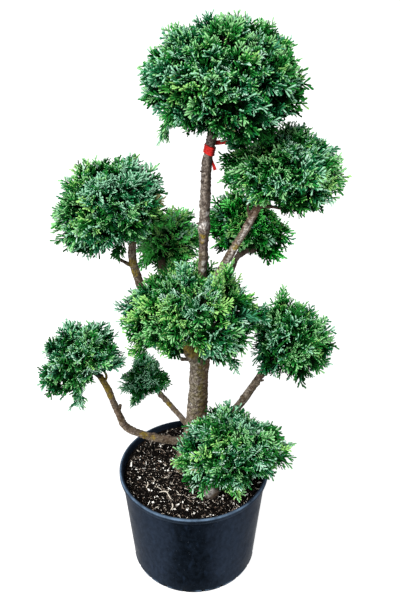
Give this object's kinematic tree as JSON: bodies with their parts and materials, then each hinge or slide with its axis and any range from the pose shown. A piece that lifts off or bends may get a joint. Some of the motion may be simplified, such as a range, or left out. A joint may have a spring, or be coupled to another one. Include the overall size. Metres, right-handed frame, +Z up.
{
  "type": "potted false cypress garden bonsai",
  "caption": "Cloud-pruned false cypress with rounded evergreen foliage pads on bare boughs, growing in a tapered black nursery pot.",
  "frame": {"origin": "centre of the pot's flat underside, on the ground", "axes": "+Z up along the pot's axis, +X to the right as the plant is seen from the front, -Y towards the front"},
  "size_m": [0.5858, 0.409, 1.2156],
  "materials": {
    "pot_plastic": "satin",
    "compost": "matte",
    "bark": "matte",
    "foliage": "matte",
    "tie_plastic": "satin"
  },
  "bodies": {
    "root": {"pot": "pot_plastic", "soil": "compost", "trunk": "bark", "bough_left_low": "bark", "bough_left_rise": "bark", "bough_small": "bark", "bough_right_low": "bark", "bough_front_low": "bark", "bough_upper_left": "bark", "bough_back_left": "bark", "bough_upper_right": "bark", "bough_back_right": "bark", "foliage_top": "foliage", "foliage_upper_right": "foliage", "foliage_upper_left": "foliage", "foliage_back_left": "foliage", "foliage_back_right": "foliage", "foliage_centre": "foliage", "foliage_left_low": "foliage", "foliage_small": "foliage", "foliage_right_low": "foliage", "foliage_front_low": "foliage", "tie_band": "tie_plastic"}
  },
  "joints": []
}
